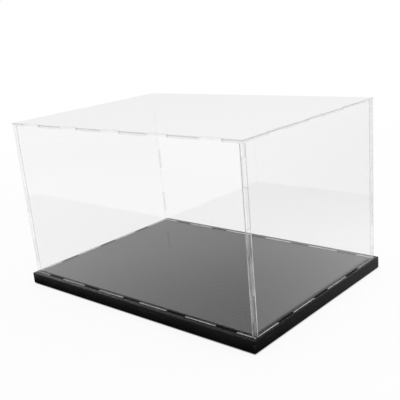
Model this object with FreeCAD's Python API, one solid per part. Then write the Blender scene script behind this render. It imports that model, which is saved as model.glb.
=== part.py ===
"""Clear display case on a black base, built as a kit of laser-cut sheets.

Millimetres, +Z up. The origin is the middle of the base at table level. +X runs along the long
front face and -Y is the front. Five clear sheets are finger-jointed to each other, and the four
walls plug into slots in a glossy plate that is bonded to a thick board.
"""
import FreeCAD
import Part

import os

# Overall sizes
base_length = 350.0
base_width = 250.0
cover_height = 190.0  # from the top of the plate to the top of the case

# Thickness of each sheet and layer
panel_thickness = 3.0
plate_thickness = 3.0
film_thickness = 0.2
board_thickness = 10.0
pad_thickness = 1.0

# How far the walls stand in from the edges of the base
end_margin = 3.0  # at the left and right
face_margin = 6.0  # at the front and back

# Finger joints: one length of tab all round, counts, and the plain edge before the first tab
tab_length = 27.0
face_tabs = 5
face_plain_edge = 23.5
end_tabs = 3
end_plain_edge = 39.0
upright_fingers = 3
upright_plain_edge = 15.5

# Fits
finger_gap = 0.1  # left by the laser beside each finger between two walls
slip_gap = 0.15  # round each wall tab, where the cover and the top panel lift off
tab_float = 0.1  # between the foot of a tab and the film under its slot

# Eased edges and small pieces of the base
corner_radius = 2.0
plate_easing = 0.6
board_easing = 0.8
film_inset = 2.0
pad_diameter = 20.0
pad_inset = 20.0  # from the edges of the base to the middle of a pad

# Levels, from the table up
board_bottom = pad_thickness
film_bottom = board_bottom + board_thickness
plate_bottom = film_bottom + film_thickness
plate_top = plate_bottom + plate_thickness
tab_foot = plate_bottom + tab_float
cover_top = plate_top + cover_height
top_panel_bottom = cover_top - panel_thickness

# Outer faces of the cover, and the inner faces of its walls
outer_x = base_length / 2 - end_margin
outer_y = base_width / 2 - face_margin
inner_x = outer_x - panel_thickness
inner_y = outer_y - panel_thickness


def block(x_range, y_range, z_range):
    """A box between two values on each axis."""
    low, high = zip(x_range, y_range, z_range)
    size = [top - bottom for bottom, top in zip(low, high)]
    return Part.makeBox(*size, FreeCAD.Vector(*low))


def span(middle, gap=0.0):
    """The two ends of a tab about its middle, or of the cut that takes it, with a gap at each end."""
    half = tab_length / 2 + gap
    return middle - half, middle + half


def tab_middles(length, plain_edge, count):
    """Evenly spaced tab middles along an edge that is centred on zero."""
    reach = length / 2 - plain_edge - tab_length / 2
    return [reach * (2 * i / (count - 1) - 1) for i in range(count)]


def mirrored(shape, axis):
    """The same piece on the other side of the case."""
    return shape.mirror(FreeCAD.Vector(0, 0, 0), axis)


def upright_edges(shape):
    """The vertical edges of a plain block."""
    return [e for e in shape.Edges if abs(e.tangentAt(e.FirstParameter).z) > 0.99]


def edges_at(shape, level):
    """The edges that lie flat at one level."""
    return [e for e in shape.Edges if e.BoundBox.ZMin > level - 1e-6 and e.BoundBox.ZMax < level + 1e-6]


def rounded_slab(z_range, inset=0.0):
    """A layer of the base, with its four upright corners rounded."""
    half_x = base_length / 2 - inset
    half_y = base_width / 2 - inset
    slab = block((-half_x, half_x), (-half_y, half_y), z_range)
    return slab.makeFillet(corner_radius, upright_edges(slab))


face_middles = tab_middles(2 * outer_x, face_plain_edge, face_tabs)
end_middles = tab_middles(2 * outer_y, end_plain_edge, end_tabs)
wall_middle = plate_top + cover_height / 2
finger_levels = [wall_middle + z for z in tab_middles(cover_height, upright_plain_edge, upright_fingers)]
X_AXIS = FreeCAD.Vector(1, 0, 0)
Y_AXIS = FreeCAD.Vector(0, 1, 0)


def make_front_panel():
    """A long wall: tabs below and above, and notches at its upright edges for the short walls' fingers."""
    depth = (-outer_y, -inner_y)
    panel = block((-outer_x, outer_x), depth, (plate_top, top_panel_bottom))
    tabs = [block(span(x), depth, (tab_foot, cover_top)) for x in face_middles]
    panel = panel.fuse(tabs)
    notch_floor = inner_x - finger_gap
    notches = []
    for z in finger_levels:
        notches.append(block((notch_floor, outer_x), depth, span(z, finger_gap)))
        notches.append(block((-outer_x, -notch_floor), depth, span(z, finger_gap)))
    return panel.cut(notches).removeSplitter()


def make_right_panel():
    """A short wall between the long ones: tabs below and above, and fingers that reach their outer faces."""
    depth = (inner_x, outer_x)
    between = inner_y - finger_gap
    panel = block(depth, (-between, between), (plate_top, top_panel_bottom))
    tabs = [block(depth, span(y), (tab_foot, cover_top)) for y in end_middles]
    fingers = [block(depth, (-outer_y, outer_y), span(z)) for z in finger_levels]
    return panel.fuse(tabs + fingers).removeSplitter()


def tab_cuts(z_range):
    """The cuts that take the tabs of all four walls, each with the slip gap all round."""
    face_depth = (-outer_y - slip_gap, -inner_y + slip_gap)
    end_depth = (inner_x - slip_gap, outer_x + slip_gap)
    front = [block(span(x, slip_gap), face_depth, z_range) for x in face_middles]
    right = [block(end_depth, span(y, slip_gap), z_range) for y in end_middles]
    back = [mirrored(cut, Y_AXIS) for cut in front]
    left = [mirrored(cut, X_AXIS) for cut in right]
    return front + back + right + left


def make_top_panel():
    """The lid sheet: flush with the walls all round, and open at its rim where their tabs come up."""
    levels = (top_panel_bottom, cover_top)
    panel = block((-outer_x, outer_x), (-outer_y, outer_y), levels)
    return panel.cut(tab_cuts(levels)).removeSplitter()


def make_base_plate():
    """The glossy plate: slots right through it for the wall tabs, and a softened top edge."""
    levels = (plate_bottom, plate_top)
    plate = rounded_slab(levels)
    plate = plate.makeFillet(plate_easing, edges_at(plate, plate_top))
    return plate.cut(tab_cuts(levels)).removeSplitter()


def make_base_board():
    """The thick board under the plate, with its lower edge softened."""
    board = rounded_slab((board_bottom, film_bottom))
    return board.makeFillet(board_easing, edges_at(board, board_bottom))


def make_adhesive_film():
    """The bonding sheet between the board and the plate, set in from their edges."""
    return rounded_slab((film_bottom, plate_bottom), film_inset)


def make_foot_pad(x_side, y_side):
    """A round stick-on pad under one corner of the board."""
    x = x_side * (base_length / 2 - pad_inset)
    y = y_side * (base_width / 2 - pad_inset)
    return Part.makeCylinder(pad_diameter / 2, pad_thickness, FreeCAD.Vector(x, y, 0))


def main():
    front_panel = make_front_panel()
    right_panel = make_right_panel()
    pieces = {
        "base_board": make_base_board(),
        "adhesive_film": make_adhesive_film(),
        "base_plate": make_base_plate(),
        "front_panel": front_panel,
        "back_panel": mirrored(front_panel, Y_AXIS),
        "right_panel": right_panel,
        "left_panel": mirrored(right_panel, X_AXIS),
        "top_panel": make_top_panel(),
    }
    for y_side, y_name in ((-1, "front"), (1, "back")):
        for x_side, x_name in ((-1, "left"), (1, "right")):
            pieces[f"foot_pad_{y_name}_{x_name}"] = make_foot_pad(x_side, y_side)

    os.makedirs("parts", exist_ok=True)
    for name, shape in pieces.items():
        if not shape.isValid() or len(shape.Solids) != 1:
            raise ValueError(f"{name} isn't one valid solid")
        shape.Solids[0].exportStep(f"parts/{name}.step")
        print(name, round(shape.Volume, 1))


main()
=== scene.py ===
import math

import bmesh
import bpy
from bpy.props import FloatProperty, FloatVectorProperty, PointerProperty
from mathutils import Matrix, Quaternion, Vector


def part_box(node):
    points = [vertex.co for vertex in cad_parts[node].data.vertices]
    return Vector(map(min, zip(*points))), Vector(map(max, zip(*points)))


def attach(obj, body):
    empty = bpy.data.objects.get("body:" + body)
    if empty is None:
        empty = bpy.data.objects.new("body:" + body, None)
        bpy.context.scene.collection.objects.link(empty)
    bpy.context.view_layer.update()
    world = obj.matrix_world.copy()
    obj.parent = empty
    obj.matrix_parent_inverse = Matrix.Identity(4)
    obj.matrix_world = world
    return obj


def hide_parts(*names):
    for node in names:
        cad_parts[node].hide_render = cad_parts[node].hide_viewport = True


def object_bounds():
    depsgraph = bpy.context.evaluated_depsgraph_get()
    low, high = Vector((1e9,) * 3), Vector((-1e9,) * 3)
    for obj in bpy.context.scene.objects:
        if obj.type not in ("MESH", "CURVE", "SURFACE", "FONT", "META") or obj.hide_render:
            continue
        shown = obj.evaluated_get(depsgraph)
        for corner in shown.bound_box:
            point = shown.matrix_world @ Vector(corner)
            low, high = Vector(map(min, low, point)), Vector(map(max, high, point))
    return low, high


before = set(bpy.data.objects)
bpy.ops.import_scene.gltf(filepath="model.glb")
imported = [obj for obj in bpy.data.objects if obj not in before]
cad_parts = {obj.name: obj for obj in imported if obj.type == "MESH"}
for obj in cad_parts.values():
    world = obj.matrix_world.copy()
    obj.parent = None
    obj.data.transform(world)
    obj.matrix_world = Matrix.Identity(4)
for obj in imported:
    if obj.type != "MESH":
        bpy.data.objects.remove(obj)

bl_info = {
    "name": "Clear display case",
    "version": (1, 0, 0),
    "blender": (4, 5, 0),
    "location": "3D View > Sidebar > Display case",
    "description": "Finishes, stage and camera for a finger-jointed clear case on a black base",
    "category": "Object",
}

X, Y, Z = range(3)  # axes
WHITE = (1.0, 1.0, 1.0, 1.0)

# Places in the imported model, in metres like every length here
CAD_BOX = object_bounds()
PLATE_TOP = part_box("base_plate")[1].z
TOP_PANEL_BOTTOM, TOP_PANEL_TOP = (corner.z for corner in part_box("top_panel"))
COVER_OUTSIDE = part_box("right_panel")[1].x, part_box("back_panel")[1].y
COVER_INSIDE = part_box("right_panel")[0].x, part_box("back_panel")[0].y
BOARD_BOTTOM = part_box("base_board")[0].z
BOARD_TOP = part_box("base_board")[1].z

# Upright finger joints of the cover
FINGER_MIDDLE = (PLATE_TOP + TOP_PANEL_TOP) / 2  # level of the middle finger
FINGER_PITCH = 0.066  # from one finger to the next
FINGER_HALF = 0.0135  # half the length of a finger

# Meshes
WELD = 1e-6  # corners nearer than this become one
FLAT = math.radians(0.5)  # faces that turn less than this become one
SHARP = math.radians(30)  # edges that turn more than this are bevelled
SQUARE = 0.99  # part of a normal along an axis, above which a face is square to it
TURNED = 0.3  # part of a normal along an axis, above which a face or bevel is turned that way
SHADED_FLAT = 0.9999  # part of a normal along an axis, above which a face isn't shaded smooth
SEAM_SPAN = -0.8, 0.2  # sides of a seam line about the wall's inner face, in its widths
TAB_TOP_LINE = 1.1  # height of the line at the top of a tab, in widths of a seam line
FACE, CUT, SEAM, FOOT, CORNER = range(5)  # finishes of a wall, in the order of its materials
TOP_NOTCH, TOP_SIDE, TOP_END = range(1, 4)  # finishes of the top panel besides its faces

# Clear sheet
MIRROR_GAIN = 2.0  # a front face mirrors for both faces of its sheet
RIBS_ACROSS = 2200.0  # changes of a cut edge's ribs per metre, across the beam
RIBS_ALONG = 90.0  # changes of the ribs per metre, along the beam
RIB_ROUGHNESS = 0.1, 0.3  # span of the ribs' roughness, which each material carries to its own
FROST_FADE = 0.0005  # half the length over which frosting fades
CLEAR_SHARE = 0.2  # frosting that stays below the level where an edge turns clear
PATCHES = 0.82, 1.12  # least and most frosting of the patches, as shares of the set one

# X less Y is about -0.29 at the back left corner of the cover, -0.05 at the front left one, 0.05 at the
# back right one and 0.29 at the front right one. These spans of it part the corners.
BACK_TO_FRONT_LEFT = -0.2, -0.1
LEFT_TO_RIGHT = -0.02, 0.02

# Frosting of the joint lines, as shares of that at the right corners: at the back left one between the
# fingers, and at the front left one all along
ALIKE = 1.0, 1.0
SEAM_AT_LEFT = 0.1, 0.25
CORNER_AT_LEFT = 0.1, 1.4

# Black base
LOW_RUB = 0.0012  # height of the rubbed rim at the bottom of the board
HIGH_RUB = 0.0006  # height of the rubbed rim at its top
CLOUD_GAIN = 2.2  # how much lighter the board is in its cloudy patches

# Stage
SENSOR_WIDTH = 36.0  # of the camera, in millimetres
LAMP_AIM = Vector((0.0, 0.0, 0.08))
CLEAR_LAYERS = 32  # clear surfaces that a ray may pass in a row
SKY_FADE = 0.34, 0.44  # sine of the height over which the mirrored surroundings darken
FLOOR_DROP = 0.00005  # keeps the floor clear of the pads
FAR_RIGHT = (0.7, 0.7, 0.0)  # direction along the floor to the right and back
MIRRORED_FAR_SHADE_FADE = 0.3, 0.55  # distance that way over which painted shade turns the mirrored floor grey
HORIZON_FADE = 1.2, 3.0  # distance from the middle over which it turns into the low surroundings
MIRRORED_SHADOW_FADE = 0.018, 0.022  # distance from the base at which the painted shadow at its foot, in the floor as mirrored, ends
GLOW_FADE = 0.35, 1.2  # distance from the middle over which shading gives way to plain white
UNDER_FADE = -0.002, 0.0  # distance from the base over which plain white gives way under it


def colour_setting(name, description, default):
    """A colour that a user may change."""
    return FloatVectorProperty(
        name=name,
        description=description,
        default=(*default, 1.0),
        size=4,
        min=0.0,
        max=1.0,
        subtype="COLOR",
    )


def grey_setting(name, description, level):
    """A colour that a user may change, grey by default."""
    return colour_setting(name, description, (level, level, level))


def small_length(name, description, default):
    """A small length that a user may change."""
    return FloatProperty(
        name=name,
        description=description,
        default=default,
        min=0.0,
        precision=5,
        subtype="DISTANCE",
        unit="LENGTH",
    )


def frosting(name, description, default):
    """How solid a frosted strip looks, which a user may change."""
    return FloatProperty(
        name=name, description=description, default=default, min=0.1, max=0.9, subtype="FACTOR"
    )


def camera_point(name, description, default):
    """A point for the camera, which a user may change."""
    return FloatVectorProperty(
        name=name, description=description, default=default, size=3, subtype="TRANSLATION", unit="LENGTH"
    )


def lamp_power(name, description, default):
    """The power of a lamp, which a user may change."""
    return FloatProperty(
        name=name, description=description, default=default, min=0.0, subtype="POWER", unit="POWER"
    )


class CaseSheetSettings(bpy.types.PropertyGroup):
    """Sizes and colours of the clear panels."""

    edge_break: small_length(
        "Edge break", "Width of the fine bevel along every edge of a clear panel", 0.0003
    )
    air_gap: small_length(
        "Air gap", "Hairline of air left at a panel's shoulders, which makes its cut edge gleam", 0.00005
    )
    seam_width: small_length(
        "Seam width", "Width of the frosted lines where one wall meets the next", 0.0012
    )
    refraction: FloatProperty(
        name="Refraction", description="Refractive index of the clear sheet", default=1.49, min=1.0, max=2.0
    )
    face_tint: grey_setting("Face tint", "Clear sheet seen through one broad face", 0.985)
    line_shade: colour_setting(
        "Line shade", "Seams and rim where the beam has left them clearer", (0.55, 0.56, 0.56)
    )
    line_frost: grey_setting("Line frost", "Seams and rim where the beam has frosted them", 0.72)
    cut_shade: colour_setting("Cut shade", "Cut edge where the beam has left it clearer", (0.9, 0.91, 0.91))
    cut_frost: grey_setting("Cut frost", "Cut edge where the beam has frosted it", 0.97)
    wall_solid: frosting(
        "Wall edge frosting", "How solid the cut edges of the walls and of the top's notches look", 0.2
    )
    top_solid: frosting(
        "Top edge frosting", "How solid the upper part of the top panel's long edges looks", 0.6
    )
    end_solid: frosting(
        "Top end frosting", "How solid the upper part of the top panel's short edges looks", 0.88
    )
    line_solid: frosting(
        "Line frosting", "How solid the lines along the seams and the foot of the walls look", 0.85
    )
    corner_solid: frosting(
        "Corner frosting", "How solid the lines along the inner corners of the walls look", 0.36
    )


class CaseBaseSettings(bpy.types.PropertyGroup):
    """Sizes and colours of the black base."""

    slot_break: small_length(
        "Slot edge break", "Width of the fine bevel round the plate's slots and on the board's top", 0.00012
    )
    pad_round: small_length("Pad rounding", "Radius of the moulded lower rim of a foot pad", 0.0004)
    plate_black: colour_setting("Plate black", "Body colour of the glossy plate", (0.012, 0.012, 0.013))
    plate_dust: colour_setting("Plate dust", "Dust and lint on the glossy plate", (0.16, 0.16, 0.155))
    board_black: colour_setting("Board black", "Body colour of the satin board", (0.003, 0.003, 0.0032))
    board_scuff: colour_setting("Board scuff", "Board where its edges are rubbed", (0.045, 0.045, 0.044))
    film_cream: colour_setting("Film cream", "Bonding film", (0.66, 0.63, 0.54))
    film_shade: colour_setting("Film shade", "Bonding film between its fibres", (0.48, 0.45, 0.37))
    pad_black: colour_setting("Pad black", "Rubber of the foot pads", (0.02, 0.02, 0.019))
    pad_bloom: colour_setting("Pad bloom", "Dull bloom on the rubber", (0.06, 0.06, 0.057))


class CaseStageSettings(bpy.types.PropertyGroup):
    """Floor, light and camera."""

    camera_place: camera_point("Camera place", "Where the camera stands", (0.52324, -0.56589, 0.31472))
    camera_aim: camera_point(
        "Camera aim", "The point that the camera looks at", (-0.00983, 0.01587, 0.05593)
    )
    camera_roll: FloatProperty(
        name="Camera roll",
        description="Turn of the camera about its own line of sight",
        default=math.radians(-5.22),
        subtype="ANGLE",
        unit="ROTATION",
    )
    camera_lens: FloatProperty(
        name="Camera lens",
        description="Focal length on a sensor 36 mm wide, in millimetres",
        default=60.31,
        min=1.0,
        subtype="DISTANCE_CAMERA",
        unit="CAMERA",
    )
    camera_rise: FloatProperty(
        name="Camera rise", description="Upward shift of the frame, as a share of its width", default=0.07
    )
    floor_reach: FloatProperty(
        name="Floor reach",
        description="Distance from the middle of the case to the edge of the floor",
        default=6.0,
        min=1.0,
        subtype="DISTANCE",
        unit="LENGTH",
    )
    floor_glow: FloatProperty(
        name="Floor glow",
        description="How much of the white by the case is plain background, the rest being lit and shaded",
        default=0.9,
        min=0.0,
        max=1.0,
        subtype="FACTOR",
    )
    floor_colour: grey_setting("Floor", "Pale floor as it is lit", 0.92)
    # Painted shade: the floor as mirrored greys off behind the case at its right
    far_floor_shade_mirrored: grey_setting("Far floor", "Floor behind the case at its right, as mirrored", 0.63)
    # Painted shadow: the floor as mirrored is painted dark close to the base, darker in front than behind
    shadow_front_mirrored: grey_setting("Foot in front", "Floor close to the front of the base, as mirrored", 0.03)
    shadow_back_mirrored: grey_setting("Foot behind", "Floor close to the back of the base, as mirrored", 0.5)
    studio_front: grey_setting("Studio in front", "Light from in front of the case", 0.5)
    studio_back: grey_setting("Studio behind", "Light from behind the case", 0.6)
    sky_low: grey_setting("Low surroundings", "Surroundings near the horizon, as mirrored", 0.88)
    sky_high: grey_setting("High surroundings", "Surroundings overhead, as mirrored", 0.33)
    overhead_power: lamp_power("Overhead softbox", "Power of the large lamp above the case", 10.0)
    side_power: lamp_power("Side softbox", "Power of the lamp at the right end of the case", 7.0)


def add(tree, kind, inputs=None, **settings):
    """Adds a node, with its settings, and with a value or a link for each input that is named."""
    made = tree.nodes.new(kind)
    for key, value in settings.items():
        setattr(made, key, value)
    for key, value in (inputs or {}).items():
        if isinstance(value, bpy.types.NodeSocket):
            tree.links.new(value, made.inputs[key])
        else:
            made.inputs[key].default_value = value
    return made


def object_place(tree):
    """The piece's own coordinates, in metres."""
    return add(tree, "ShaderNodeTexCoord").outputs["Object"]


def parts_of(tree, vector):
    """The X, Y and Z of a vector."""
    return add(tree, "ShaderNodeSeparateXYZ", {"Vector": vector}).outputs


def drawn_out(tree, place, turn, stretch):
    """Coordinates stretched and turned, so that noise on them is drawn out into hairs or threads."""
    inputs = {"Vector": place, "Rotation": turn, "Scale": stretch}
    return add(tree, "ShaderNodeMapping", inputs).outputs["Vector"]


def noise(tree, place, scale, detail=2.0, roughness=0.5, distortion=0.0):
    """Cloudy noise between 0 and 1."""
    inputs = {
        "Vector": place,
        "Scale": scale,
        "Detail": detail,
        "Roughness": roughness,
        "Distortion": distortion,
    }
    return add(tree, "ShaderNodeTexNoise", inputs).outputs["Fac"]


def ranged(tree, value, span, to=(0.0, 1.0)):
    """A value carried from one span to another, and held at its ends."""
    inputs = {"Value": value, "From Min": span[0], "From Max": span[1], "To Min": to[0], "To Max": to[1]}
    return add(tree, "ShaderNodeMapRange", inputs).outputs["Result"]


def worked(tree, operation, *values):
    """One step of arithmetic."""
    return add(tree, "ShaderNodeMath", dict(enumerate(values)), operation=operation).outputs["Value"]


def vector_worked(tree, operation, *values):
    """One step of arithmetic on vectors: its outputs, of which Vector or Value holds the result."""
    return add(tree, "ShaderNodeVectorMath", dict(enumerate(values)), operation=operation).outputs


def mixed(tree, factor, low, high):
    """A colour between two others. The node's sockets share their names, so they go by number."""
    return add(tree, "ShaderNodeMix", {0: factor, 6: low, 7: high}, data_type="RGBA").outputs[2]


def mixed_shaders(tree, share, low, high):
    """A surface between two others."""
    return add(tree, "ShaderNodeMixShader", {0: share, 1: low, 2: high}).outputs["Shader"]


def principled(tree, inputs):
    """An opaque or see-through surface with gloss."""
    return add(tree, "ShaderNodeBsdfPrincipled", inputs).outputs["BSDF"]


def window(tree, tint):
    """A surface that is seen straight through."""
    return add(tree, "ShaderNodeBsdfTransparent", {"Color": tint}).outputs["BSDF"]


def glowing(tree, colour):
    """A surface that shows a colour as it is."""
    return add(tree, "ShaderNodeEmission", {"Color": colour, "Strength": 1.0}).outputs["Emission"]


def from_behind(tree):
    """1 on the back of a face and 0 on its front."""
    return add(tree, "ShaderNodeNewGeometry").outputs["Backfacing"]


def bumped(tree, height, strength, distance):
    """The normal of a surface with that relief."""
    inputs = {"Height": height, "Strength": strength, "Distance": distance}
    return add(tree, "ShaderNodeBump", inputs).outputs["Normal"]


def shader_group(build):
    """Wraps a group's recipe, so that it is built once and found again after that."""
    def found():
        name = build.__name__
        return bpy.data.node_groups.get(name) or build(bpy.data.node_groups.new(name, "ShaderNodeTree"))
    return found


def group_inputs(tree, *sockets):
    """Gives a group its inputs, each with a name, a kind and a default, and returns them."""
    for name, kind, default in sockets:
        tree.interface.new_socket(name, in_out="INPUT", socket_type=kind).default_value = default
    return tree.nodes.new("NodeGroupInput").outputs


def group_outputs(tree, **values):
    """Gives a group its outputs and links each to its value."""
    for name in values:
        tree.interface.new_socket(name, in_out="OUTPUT", socket_type="NodeSocketFloat")
    out = tree.nodes.new("NodeGroupOutput")
    for name, value in values.items():
        tree.links.new(value, out.inputs[name])
    return tree


@shader_group
def handling_marks(tree):
    """Soft smudges and a few hairline scratches, as left by wiping a polished sheet."""
    given = group_inputs(
        tree,
        ("Scale", "NodeSocketFloat", 9.0),
        ("Clean", "NodeSocketFloat", 0.0),
        ("Dull", "NodeSocketFloat", 0.05),
    )
    place = object_place(tree)
    smudge = noise(tree, place, given["Scale"], detail=4.0, distortion=0.6)
    hairs = []
    for turn, across, along in ((0.5, 260.0, 3.0), (-0.9, 330.0, 3.0)):
        drawn = drawn_out(tree, place, turn=(turn, turn, turn), stretch=(across, along, across))
        hairs.append(ranged(tree, noise(tree, drawn, scale=1.0, detail=1.0), span=(0.74, 0.8)))
    hair = worked(tree, "MAXIMUM", *hairs)
    dull = ranged(tree, smudge, span=(0.48, 0.75), to=(given["Clean"], given["Dull"]))
    return group_outputs(tree, Roughness=worked(tree, "MULTIPLY_ADD", hair, given["Dull"], dull))


@shader_group
def sheet_wave(tree):
    """The slow unevenness of cast sheet, which bends straight reflections a little."""
    given = group_inputs(tree, ("Scale", "NodeSocketFloat", 7.0))
    return group_outputs(tree, Height=noise(tree, object_place(tree), given["Scale"], detail=1.0))


@shader_group
def laser_ripple(tree):
    """Fine ribs across a laser-cut edge, drawn out along the beam by the stretch, and frosted patches."""
    given = group_inputs(tree, ("Stretch", "NodeSocketVector", (1.0, 1.0, 1.0)))
    place = object_place(tree)
    drawn = vector_worked(tree, "MULTIPLY", place, given["Stretch"])["Vector"]
    ribs = noise(tree, drawn, scale=1.0, detail=3.0, roughness=0.6)
    patch = noise(tree, place, scale=60.0)
    return group_outputs(
        tree,
        Height=ribs,
        Roughness=ranged(tree, ribs, span=(0.3, 0.7), to=RIB_ROUGHNESS),
        Frost=ranged(tree, patch, span=(0.35, 0.65)),
    )


@shader_group
def fine_grain(tree):
    """Close pores and grain of foamed board or rubber, with broader cloudy patches."""
    given = group_inputs(tree, ("Scale", "NodeSocketFloat", 1400.0))
    place = object_place(tree)
    grain = noise(tree, place, given["Scale"], detail=4.0, roughness=0.65)
    cells = add(tree, "ShaderNodeTexVoronoi", {"Vector": place, "Scale": given["Scale"]}).outputs
    sunk = ranged(tree, cells["Distance"], span=(0.12, 0.4), to=(1.0, 0.0))
    pore_depth = -0.6
    return group_outputs(
        tree,
        Height=worked(tree, "MULTIPLY_ADD", sunk, pore_depth, grain),
        Clouds=noise(tree, place, scale=38.0, detail=5.0, roughness=0.6),
    )


@shader_group
def settled_dust(tree):
    """Sparse specks of dust."""
    given = group_inputs(tree, ("Scale", "NodeSocketFloat", 420.0))
    inputs = {"Vector": object_place(tree), "Scale": given["Scale"]}
    cells = add(tree, "ShaderNodeTexVoronoi", inputs).outputs
    near = ranged(tree, cells["Distance"], span=(0.05, 0.14), to=(1.0, 0.0))
    chance = add(tree, "ShaderNodeSeparateColor", {"Color": cells["Color"]}).outputs["Red"]
    clean_share = 0.985
    few = worked(tree, "GREATER_THAN", chance, clean_share)
    return group_outputs(tree, Specks=worked(tree, "MULTIPLY", near, few))


def use(tree, group, **inputs):
    """Places a shader group in a material with its own values, and returns its outputs."""
    made = tree.nodes.new("ShaderNodeGroup")
    made.node_tree = group()
    for key, value in inputs.items():
        made.inputs[key].default_value = value
    return made.outputs


def new_material(name):
    """A material with only its output node: the material, its tree and its surface socket."""
    material = bpy.data.materials.new(name)
    material.use_nodes = True
    tree = material.node_tree
    tree.nodes.clear()
    return material, tree, tree.nodes.new("ShaderNodeOutputMaterial").inputs["Surface"]


def clear_face(sheets):
    """Polished broad face of a clear panel: a window that mirrors a little, more so at a slant."""
    material, tree, surface = new_material("clear_face")
    marks = use(tree, handling_marks, Scale=11.0, Clean=0.0, Dull=0.05)
    wave = use(tree, sheet_wave, Scale=5.0)
    mirror = principled(
        tree,
        {
            "Base Color": WHITE,
            "Metallic": 1.0,
            "Roughness": marks["Roughness"],
            "Normal": bumped(tree, wave["Height"], strength=0.04, distance=0.001),
        },
    )
    slant = add(tree, "ShaderNodeFresnel", {"IOR": sheets.refraction}).outputs["Fac"]
    front_only = ranged(tree, from_behind(tree), span=(0.0, 1.0), to=(MIRROR_GAIN, 0.0))
    share = worked(tree, "MULTIPLY", slant, front_only)
    tree.links.new(mixed_shaders(tree, share, window(tree, sheets.face_tint), mirror), surface)
    return material


def shared_face(sheets):
    """The face finish that all clear panels share, made once."""
    return bpy.data.materials.get("clear_face") or clear_face(sheets)


def cut_stretch(beam):
    """Stretch of the ribs on an edge that the beam has cut along one axis."""
    return tuple(RIBS_ALONG if axis == beam else RIBS_ACROSS for axis in (X, Y, Z))


def fading(level):
    """The span over which frosting fades at a level."""
    return level - FROST_FADE, level + FROST_FADE


def frosting_share(tree, clear_below, at_left):
    """How much of its frosting an edge has by its place: less below one level and at the left corners."""
    place = parts_of(tree, object_place(tree))
    above = ranged(tree, place["Z"], fading(clear_below), to=(CLEAR_SHARE, 1.0))
    rise = worked(tree, "SUBTRACT", place["Z"], FINGER_MIDDLE)
    off_finger = worked(tree, "PINGPONG", rise, FINGER_PITCH / 2)
    back_share, front_share = at_left
    back = ranged(tree, off_finger, fading(FINGER_HALF), to=(1.0, back_share))
    aside = worked(tree, "SUBTRACT", place["X"], place["Y"])
    left = ranged(tree, aside, BACK_TO_FRONT_LEFT, to=(back, front_share))
    return worked(tree, "MULTIPLY", above, ranged(tree, aside, LEFT_TO_RIGHT, to=(left, 1.0)))


def cut_edge(
    name, stretch, shade, frost, solid, clear_below=0.0, from_inside=0.35, gleam=0.0, at_left=ALIKE
):
    """Laser-cut edge of a clear panel: ribbed, frosted in patches, and clearer as seen from inside."""
    material, tree, surface = new_material(name)
    ripple = use(tree, laser_ripple, Stretch=stretch)
    frosted = frosting_share(tree, clear_below, at_left)
    patchy = ranged(tree, ripple["Frost"], span=(0.0, 1.0), to=[share * solid for share in PATCHES])
    facing = ranged(tree, from_behind(tree), span=(0.0, 1.0), to=(1.0, from_inside))
    edge = principled(
        tree,
        {
            "Base Color": mixed(tree, ripple["Frost"], shade, frost),
            "Metallic": gleam,
            "Roughness": ranged(tree, ripple["Roughness"], RIB_ROUGHNESS, to=(0.2, 0.45)),
            "Alpha": worked(tree, "MULTIPLY", worked(tree, "MULTIPLY", patchy, frosted), facing),
            "Normal": bumped(tree, ripple["Height"], strength=0.25, distance=0.0002),
        },
    )
    tree.links.new(edge, surface)
    return material


def plate_gloss(base):
    """Mirror-polished black faces of the plate, with wiping marks and a little dust."""
    material, tree, surface = new_material("plate_gloss")
    marks = use(tree, handling_marks, Scale=8.0, Clean=0.012, Dull=0.06)
    specks = use(tree, settled_dust, Scale=420.0)["Specks"]
    wave = use(tree, sheet_wave, Scale=6.0)
    speck_roughness = 0.2
    gloss = principled(
        tree,
        {
            "Base Color": mixed(tree, specks, base.plate_black, base.plate_dust),
            "Roughness": worked(tree, "MULTIPLY_ADD", specks, speck_roughness, marks["Roughness"]),
            "Specular IOR Level": 0.26,
            "Normal": bumped(tree, wave["Height"], strength=0.04, distance=0.002),
        },
    )
    tree.links.new(gloss, surface)
    return material


def plate_cut(base):
    """Laser-cut edge of the plate and of its slots."""
    material, tree, surface = new_material("plate_cut")
    ripple = use(tree, laser_ripple, Stretch=cut_stretch(Z))
    specks = use(tree, settled_dust, Scale=600.0)["Specks"]
    edge = principled(
        tree,
        {
            "Base Color": mixed(tree, specks, base.board_black, base.plate_dust),
            "Roughness": ranged(tree, ripple["Roughness"], RIB_ROUGHNESS, to=(0.22, 0.42)),
            "Specular IOR Level": 0.15,
            "Normal": bumped(tree, ripple["Height"], strength=0.3, distance=0.0002),
        },
    )
    tree.links.new(edge, surface)
    return material


def board_satin(base):
    """Satin black board: fine pores, cloudy patches and rubbed edges."""
    material, tree, surface = new_material("board_satin")
    grain = use(tree, fine_grain, Scale=1500.0)
    height = parts_of(tree, object_place(tree))["Z"]
    low_rim = ranged(tree, height, span=(BOARD_BOTTOM, BOARD_BOTTOM + LOW_RUB), to=(1.0, 0.0))
    high_rim = ranged(tree, height, span=(BOARD_TOP - HIGH_RUB, BOARD_TOP))
    worn = ranged(tree, grain["Clouds"], span=(0.5, 0.66))
    rubbed = worked(tree, "MULTIPLY", worked(tree, "MAXIMUM", low_rim, high_rim), worn)
    cloudy = ranged(tree, grain["Clouds"], span=(0.35, 0.7))
    pale = (*(CLOUD_GAIN * part for part in base.board_black[:3]), 1.0)
    body = mixed(tree, cloudy, base.board_black, pale)
    satin = principled(
        tree,
        {
            "Base Color": mixed(tree, rubbed, body, base.board_scuff),
            "Roughness": ranged(tree, grain["Clouds"], span=(0.3, 0.7), to=(0.28, 0.38)),
            "Specular IOR Level": 0.15,
            "Normal": bumped(tree, grain["Height"], strength=0.3, distance=0.0002),
        },
    )
    tree.links.new(satin, surface)
    return material


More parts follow.
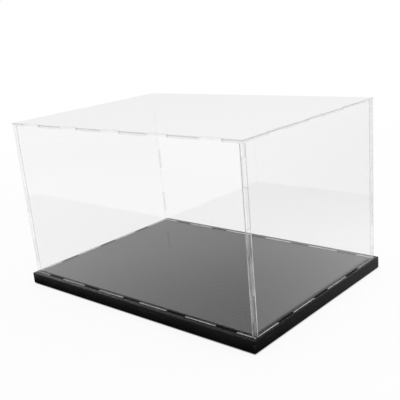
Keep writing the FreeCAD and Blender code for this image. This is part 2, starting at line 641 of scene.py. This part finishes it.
def film_fibre(base):
    """Pale bonding film with a fibrous carrier."""
    material, tree, surface = new_material("film_fibre")
    place = object_place(tree)
    threads = []
    for stretch in ((60.0, 900.0, 60.0), (900.0, 60.0, 60.0)):
        drawn = drawn_out(tree, place, turn=(0.0, 0.0, 0.35), stretch=stretch)
        threads.append(noise(tree, drawn, scale=1.0, detail=3.0))
    fibre = worked(tree, "MAXIMUM", *threads)
    thread_edge = 0.4, 0.7
    film = principled(
        tree,
        {
            "Base Color": mixed(tree, ranged(tree, fibre, thread_edge), base.film_shade, base.film_cream),
            "Roughness": ranged(tree, fibre, thread_edge, to=(0.35, 0.6)),
            "Normal": bumped(tree, fibre, strength=0.4, distance=0.0002),
        },
    )
    tree.links.new(film, surface)
    return material


def pad_rubber(base):
    """Matte rubber of the foot pads."""
    material, tree, surface = new_material("pad_rubber")
    grain = use(tree, fine_grain, Scale=1100.0)
    bloom = ranged(tree, grain["Clouds"], span=(0.42, 0.72))
    rubber = principled(
        tree,
        {
            "Base Color": mixed(tree, bloom, base.pad_black, base.pad_bloom),
            "Roughness": ranged(tree, grain["Clouds"], span=(0.3, 0.7), to=(0.7, 0.9)),
            "Normal": bumped(tree, grain["Height"], strength=0.35, distance=0.0003),
        },
    )
    tree.links.new(rubber, surface)
    return material


def welded_copy(node):
    """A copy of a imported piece, with its loose triangles joined and its flat faces whole again."""
    bm = bmesh.new()
    bm.from_mesh(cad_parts[node].data)
    bmesh.ops.remove_doubles(bm, verts=bm.verts, dist=WELD)
    bmesh.ops.dissolve_limit(bm, angle_limit=FLAT, verts=bm.verts, edges=bm.edges)
    return bm


def round_edges(bm, edges, width, segments):
    """Rounds some edges by a bevel."""
    bmesh.ops.bevel(
        bm,
        geom=edges,
        offset=width,
        offset_type="OFFSET",
        segments=segments,
        profile=0.5,
        affect="EDGES",
        clamp_overlap=True,
        material=-1,
    )


def break_edges(bm, width):
    """Takes the sharpness off every hard edge."""
    hard = [e for e in bm.edges if len(e.link_faces) == 2 and e.calc_face_angle() > SHARP]
    round_edges(bm, hard, width, segments=2)


def lift_level(bm, level, by):
    """Moves the corners that lie at one level up or down by a hair."""
    for vert in bm.verts:
        if abs(vert.co.z - level) < WELD:
            vert.co.z += by


def score(bm, axis, places):
    """Cuts a sheet's faces across one axis at each place, with the sheet left whole."""
    for place in places:
        point, across = Vector(), Vector()
        point[axis] = place
        across[axis] = 1.0
        bmesh.ops.bisect_plane(
            bm, geom=[*bm.verts, *bm.edges, *bm.faces], dist=WELD, plane_co=point, plane_no=across
        )


def score_lines(bm, width):
    """Scores a wall at its upright seams, below the tops of its tabs, and along the outside of its foot."""
    for axis, inside in enumerate(COVER_INSIDE):
        score(bm, axis, [side * (inside + past * width) for side in (-1.0, 1.0) for past in SEAM_SPAN])
    score(bm, Z, [TOP_PANEL_TOP - TAB_TOP_LINE * width])
    for axis, outside in enumerate(COVER_OUTSIDE):
        score(bm, axis, [side * (outside - width) for side in (-1.0, 1.0)])
    settle_faces(bm)


def settle_faces(bm):
    """Puts a scored mesh's faces in the order of their corners, which is the same on every run."""
    bm.verts.index_update()
    ordered = sorted(bm.faces, key=lambda face: [corner.index for corner in face.verts])
    ranks = {face: rank for rank, face in enumerate(ordered)}
    bm.faces.sort(key=ranks.get)


def joint_finish(face, width, rim):
    """A face's finish at an upright joint: the seam, the band past it, the inner corner or none of them."""
    middle = face.calc_center_median()
    for axis, across in ((X, Y), (Y, X)):
        outward = face.normal[axis] * math.copysign(1.0, middle[axis])
        past = (abs(middle[across]) - COVER_INSIDE[across]) / width
        on_line = SEAM_SPAN[0] < past < SEAM_SPAN[1]
        if outward > TURNED and abs(middle[axis]) > COVER_OUTSIDE[axis] - rim and past > SEAM_SPAN[0]:
            return SEAM if on_line else CUT
        if outward < -TURNED and abs(middle[axis]) < COVER_INSIDE[axis] + rim and on_line:
            return CORNER
    return FACE


def wall_finish(axis, width, rim):
    """Sorts a wall's faces: the broad ones, the cut edges, the lines at its joints, and its foot."""
    def sort(face):
        middle = face.calc_center_median()
        outside = face.normal[axis] * middle[axis] > 0.0
        at_foot = face.normal.z < -TURNED and abs(middle.z - PLATE_TOP) < width
        at_top = axis == X and outside and middle.z > TOP_PANEL_TOP - TAB_TOP_LINE * width
        if at_foot and abs(middle[axis]) > COVER_OUTSIDE[axis] - width:
            return FOOT
        if at_top:
            return SEAM
        if abs(face.normal.z) > SQUARE:
            return CUT
        at_joint = joint_finish(face, width, rim)
        return CUT if at_joint == FACE and abs(face.normal[axis]) < SQUARE else at_joint
    return sort


def top_finish(rim):
    """Sorts the top panel's faces: the broad ones, its long and short edges, and its notches."""
    def sort(face):
        if abs(face.normal.z) > SQUARE:
            return FACE
        middle = face.calc_center_median()
        if abs(middle.x) > COVER_OUTSIDE[X] - rim:
            return TOP_END
        return TOP_SIDE if abs(middle.y) > COVER_OUTSIDE[Y] - rim else TOP_NOTCH
    return sort


def plate_finish(face):
    """Sorts the plate's faces: the polished ones and the cut ones."""
    return FACE if abs(face.normal.z) > SQUARE else CUT


def one_finish(face):
    """All faces alike."""
    return FACE


def finished_piece(name, bm, materials, sort, node, body):
    """Makes a piece that stands for a packed one, with the finish of each face as it is sorted."""
    bmesh.ops.recalc_face_normals(bm, faces=bm.faces)
    for face in bm.faces:
        face.smooth = max(abs(part) for part in face.normal) < SHADED_FLAT
        face.material_index = sort(face)
    mesh = bpy.data.meshes.new(name)
    bm.to_mesh(mesh)
    bm.free()
    for material in materials:
        mesh.materials.append(material)
    piece = bpy.data.objects.new(name, mesh)
    bpy.context.scene.collection.objects.link(piece)
    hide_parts(node)
    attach(piece, body)


def wall_materials(sheets, name, beam):
    """The finishes of a wall: the face that all panels share, its cut edges, its foot and its lines."""
    ribs = cut_stretch(beam)
    pale = sheets.cut_shade, sheets.cut_frost
    grey = sheets.line_shade, sheets.line_frost
    seam = {"from_inside": 0.15, "at_left": SEAM_AT_LEFT}
    corner = {"from_inside": 0.2, "at_left": CORNER_AT_LEFT}
    return (
        shared_face(sheets),
        cut_edge(f"{name}_cut", ribs, *pale, sheets.wall_solid, gleam=1.0),
        cut_edge(f"{name}_seam", ribs, *grey, sheets.line_solid, **seam),
        cut_edge(f"{name}_foot", ribs, *pale, sheets.line_solid, from_inside=1.0),
        cut_edge(f"{name}_corner", ribs, *grey, sheets.corner_solid, **corner),
    )


def top_materials(sheets):
    """The finishes of the top panel: the shared face, its notches, and its long and short edges."""
    ribs = cut_stretch(Z)
    pale = sheets.cut_shade, sheets.cut_frost
    grey = sheets.line_shade, sheets.line_frost
    middle = (TOP_PANEL_BOTTOM + TOP_PANEL_TOP) / 2
    return (
        shared_face(sheets),
        cut_edge("top_notch", ribs, *pale, sheets.wall_solid, gleam=1.0),
        cut_edge("top_side", ribs, *grey, sheets.top_solid, clear_below=middle),
        cut_edge("top_end", ribs, *grey, sheets.end_solid, clear_below=middle),
    )


class CASE_OT_clear_walls(bpy.types.Operator):
    """Build the four clear walls, with softened edges and a hairline of air at their shoulders"""

    bl_idname = "display_case.clear_walls"
    bl_label = "Clear walls"

    def execute(self, context):
        sheets = context.scene.case_sheets
        walls = (Y, "long_wall", ("front", "back")), (X, "short_wall", ("left", "right"))
        for axis, wall, sides in walls:
            materials = wall_materials(sheets, wall, axis)
            sort = wall_finish(axis, sheets.seam_width, sheets.edge_break)
            for side in sides:
                node = f"{side}_panel"
                bm = welded_copy(node)
                lift_level(bm, PLATE_TOP, sheets.air_gap)
                lift_level(bm, TOP_PANEL_BOTTOM, -sheets.air_gap)
                break_edges(bm, sheets.edge_break)
                score_lines(bm, sheets.seam_width)
                finished_piece(f"{side}_sheet", bm, materials, sort, node, "cover")
        return {"FINISHED"}


class CASE_OT_top_sheet(bpy.types.Operator):
    """Build the clear top panel, with softened edges"""

    bl_idname = "display_case.top_sheet"
    bl_label = "Top panel"

    def execute(self, context):
        sheets = context.scene.case_sheets
        bm = welded_copy("top_panel")
        break_edges(bm, sheets.edge_break)
        sort = top_finish(sheets.edge_break)
        finished_piece("top_sheet", bm, top_materials(sheets), sort, "top_panel", "lid")
        return {"FINISHED"}


class CASE_OT_gloss_plate(bpy.types.Operator):
    """Build the glossy black plate, with softened slots"""

    bl_idname = "display_case.gloss_plate"
    bl_label = "Base plate"

    def execute(self, context):
        base = context.scene.case_base
        bm = welded_copy("base_plate")
        break_edges(bm, base.slot_break)
        finishes = plate_gloss(base), plate_cut(base)
        finished_piece("gloss_plate", bm, finishes, plate_finish, "base_plate", "base")
        return {"FINISHED"}


class CASE_OT_bond_film(bpy.types.Operator):
    """Build the bonding film between the plate and the board"""

    bl_idname = "display_case.bond_film"
    bl_label = "Bonding film"

    def execute(self, context):
        bm = welded_copy("adhesive_film")
        finishes = (film_fibre(context.scene.case_base),)
        finished_piece("bond_film", bm, finishes, one_finish, "adhesive_film", "base")
        return {"FINISHED"}


class CASE_OT_satin_board(bpy.types.Operator):
    """Build the satin black board, with its upper edge softened"""

    bl_idname = "display_case.satin_board"
    bl_label = "Base board"

    def execute(self, context):
        base = context.scene.case_base
        bm = welded_copy("base_board")
        break_edges(bm, base.slot_break)
        finishes = (board_satin(base),)
        finished_piece("satin_board", bm, finishes, one_finish, "base_board", "base")
        return {"FINISHED"}


def pad_disc(low, high, rounding):
    """A round pad between two corners, with its lower rim rounded."""
    radius = (high.x - low.x) / 2
    bm = bmesh.new()
    bmesh.ops.create_cone(
        bm, cap_ends=True, segments=72, radius1=radius, radius2=radius, depth=high.z - low.z
    )
    bmesh.ops.translate(bm, verts=bm.verts, vec=(low + high) / 2)
    rim = [e for e in bm.edges if all(v.co.z < low.z + WELD for v in e.verts)]
    round_edges(bm, rim, rounding, segments=4)
    return bm


class CASE_OT_foot_pads(bpy.types.Operator):
    """Build the four rubber foot pads, each with a rounded lower rim"""

    bl_idname = "display_case.foot_pads"
    bl_label = "Foot pads"

    def execute(self, context):
        base = context.scene.case_base
        finishes = (pad_rubber(base),)
        for corner in ("front_left", "front_right", "back_left", "back_right"):
            node = f"foot_pad_{corner}"
            bm = pad_disc(*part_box(node), base.pad_round)
            finished_piece(f"pad_{corner}", bm, finishes, one_finish, node, "base")
        return {"FINISHED"}


def place_camera(stage):
    """The camera at the photograph's viewing angle."""
    data = bpy.data.cameras.new("case_camera")
    data.sensor_width = SENSOR_WIDTH
    data.lens = stage.camera_lens
    data.shift_y = stage.camera_rise
    camera = bpy.data.objects.new("case_camera", data)
    camera.location = stage.camera_place
    sight = (Vector(stage.camera_aim) - Vector(stage.camera_place)).to_track_quat("-Z", "Y")
    camera.rotation_mode = "QUATERNION"
    camera.rotation_quaternion = sight @ Quaternion((0.0, 0.0, 1.0), stage.camera_roll)
    bpy.context.scene.collection.objects.link(camera)
    bpy.context.scene.camera = camera


def softbox(name, place, size, power):
    """A soft lamp aimed at the case, which lights it but isn't seen itself."""
    data = bpy.data.lights.new(name, "AREA")
    data.shape = "SQUARE"
    data.size = size
    data.energy = power
    lamp = bpy.data.objects.new(name, data)
    lamp.location = place
    lamp.rotation_mode = "QUATERNION"
    lamp.rotation_quaternion = (LAMP_AIM - Vector(place)).to_track_quat("-Z", "Y")
    lamp.visible_camera = False
    lamp.visible_glossy = False
    lamp.visible_transmission = False
    bpy.context.scene.collection.objects.link(lamp)


def seen_share(tree, path):
    """1 for what the camera sees, also through a clear panel, and 0 for mirrored views and for light."""
    return worked(tree, "MAXIMUM", path["Is Camera Ray"], path["Is Transmission Ray"])


def studio_surroundings(stage):
    """White where it is seen, paler towards the horizon where it is mirrored, and soft grey as light."""
    world = bpy.data.worlds.new("studio")
    world.use_nodes = True
    tree = world.node_tree
    tree.nodes.clear()
    facing = parts_of(tree, add(tree, "ShaderNodeTexCoord").outputs["Generated"])
    path = add(tree, "ShaderNodeLightPath").outputs
    light = mixed(tree, ranged(tree, facing["Y"], span=(-1.0, 1.0)), stage.studio_front, stage.studio_back)
    mirrored = mixed(tree, ranged(tree, facing["Z"], SKY_FADE), stage.sky_low, stage.sky_high)
    unseen = mixed(tree, path["Is Glossy Ray"], light, mirrored)
    shown = mixed(tree, seen_share(tree, path), unseen, WHITE)
    sky = add(tree, "ShaderNodeBackground", {"Color": shown, "Strength": 1.0})
    out = tree.nodes.new("ShaderNodeOutputWorld")
    tree.links.new(sky.outputs["Background"], out.inputs["Surface"])
    bpy.context.scene.world = world


def beyond_base(tree, place):
    """Distance along the floor from the foot of the base."""
    reach = vector_worked(tree, "ABSOLUTE", place)["Vector"]
    past = parts_of(tree, vector_worked(tree, "SUBTRACT", reach, CAD_BOX[1])["Vector"])
    return worked(tree, "MAXIMUM", past["X"], past["Y"])


def mirrored_floor(stage, tree, place, reach, beyond):
    """The floor's colour as mirrored: a painted shadow at the foot of the base, then white, and painted
    shade that greys it further off.
    """
    aside = vector_worked(tree, "DOT_PRODUCT", place, FAR_RIGHT)["Value"]
    # painted shade that greys the mirrored floor off behind the case at its right
    around = mixed(tree, ranged(tree, aside, MIRRORED_FAR_SHADE_FADE), WHITE, stage.far_floor_shade_mirrored)
    open_floor = mixed(tree, ranged(tree, reach, HORIZON_FADE), around, stage.sky_low)
    along = ranged(tree, parts_of(tree, place)["Y"], span=(CAD_BOX[0].y, CAD_BOX[1].y))
    # painted shadow at the foot of the base, darker in front of it than behind it
    foot = mixed(tree, along, stage.shadow_front_mirrored, stage.shadow_back_mirrored)
    return mixed(tree, ranged(tree, beyond, MIRRORED_SHADOW_FADE), foot, open_floor)


def floor_finish(stage):
    """A plain pale floor: white with the case's faint shadow where it is seen, and clear from below."""
    material, tree, surface = new_material("studio_floor")
    place = object_place(tree)
    reach = vector_worked(tree, "LENGTH", place)["Value"]
    beyond = beyond_base(tree, place)
    path = add(tree, "ShaderNodeLightPath").outputs
    lit = add(tree, "ShaderNodeBsdfDiffuse", {"Color": stage.floor_colour}).outputs["BSDF"]
    image = glowing(tree, mirrored_floor(stage, tree, place, reach, beyond))
    shaded = mixed_shaders(tree, path["Is Glossy Ray"], lit, image)
    glow = ranged(tree, reach, GLOW_FADE, to=(stage.floor_glow, 1.0))
    glow = worked(tree, "MULTIPLY", glow, ranged(tree, beyond, UNDER_FADE))
    share = worked(tree, "MULTIPLY", glow, seen_share(tree, path))
    top = mixed_shaders(tree, share, shaded, glowing(tree, WHITE))
    tree.links.new(mixed_shaders(tree, from_behind(tree), top, window(tree, WHITE)), surface)
    return material


def studio_floor(stage):
    """Lays the floor just under the pads."""
    bm = bmesh.new()
    bmesh.ops.create_grid(bm, x_segments=1, y_segments=1, size=stage.floor_reach)
    bmesh.ops.translate(bm, verts=bm.verts, vec=(0.0, 0.0, CAD_BOX[0].z - FLOOR_DROP))
    mesh = bpy.data.meshes.new("studio_floor")
    bm.to_mesh(mesh)
    bm.free()
    mesh.materials.append(floor_finish(stage))
    floor = bpy.data.objects.new("studio_floor", mesh)
    bpy.context.scene.collection.objects.link(floor)


class CASE_OT_stage(bpy.types.Operator):
    """Set up the floor, the surroundings, the lamps and the camera"""

    bl_idname = "display_case.stage"
    bl_label = "Stage"

    def execute(self, context):
        stage = context.scene.case_stage
        context.scene.view_settings.view_transform = "Standard"
        context.scene.cycles.transparent_max_bounces = CLEAR_LAYERS
        studio_surroundings(stage)
        studio_floor(stage)
        softbox("overhead_softbox", place=(0.0, 0.2, 1.5), size=1.4, power=stage.overhead_power)
        softbox("side_softbox", place=(1.3, 0.9, 0.55), size=1.2, power=stage.side_power)
        place_camera(stage)
        return {"FINISHED"}


class CASE_PT_sidebar(bpy.types.Panel):
    """Lists the pieces of the case, the stage and their settings"""

    bl_idname = "CASE_PT_sidebar"
    bl_label = "Display case"
    bl_space_type = "VIEW_3D"
    bl_region_type = "UI"
    bl_category = "Display case"

    def draw(self, context):
        for operator in OPERATORS:
            self.layout.operator(operator.bl_idname)
        for group in (context.scene.case_sheets, context.scene.case_base, context.scene.case_stage):
            column = self.layout.box().column()
            for name in group.__annotations__:
                column.prop(group, name)


OPERATORS = (
    CASE_OT_stage,
    CASE_OT_foot_pads,
    CASE_OT_satin_board,
    CASE_OT_bond_film,
    CASE_OT_gloss_plate,
    CASE_OT_clear_walls,
    CASE_OT_top_sheet,
)
CLASSES = (CaseSheetSettings, CaseBaseSettings, CaseStageSettings, *OPERATORS, CASE_PT_sidebar)


def register():
    for cls in CLASSES:
        bpy.utils.register_class(cls)
    bpy.types.Scene.case_sheets = PointerProperty(type=CaseSheetSettings)
    bpy.types.Scene.case_base = PointerProperty(type=CaseBaseSettings)
    bpy.types.Scene.case_stage = PointerProperty(type=CaseStageSettings)


def unregister():
    del bpy.types.Scene.case_stage
    del bpy.types.Scene.case_base
    del bpy.types.Scene.case_sheets
    for cls in reversed(CLASSES):
        bpy.utils.unregister_class(cls)


def main():
    """Registers the add-on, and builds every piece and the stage."""
    register()
    bpy.ops.display_case.stage()
    bpy.ops.display_case.foot_pads()
    bpy.ops.display_case.satin_board()
    bpy.ops.display_case.bond_film()
    bpy.ops.display_case.gloss_plate()
    bpy.ops.display_case.clear_walls()
    bpy.ops.display_case.top_sheet()


if __name__ == "__main__":
    main()
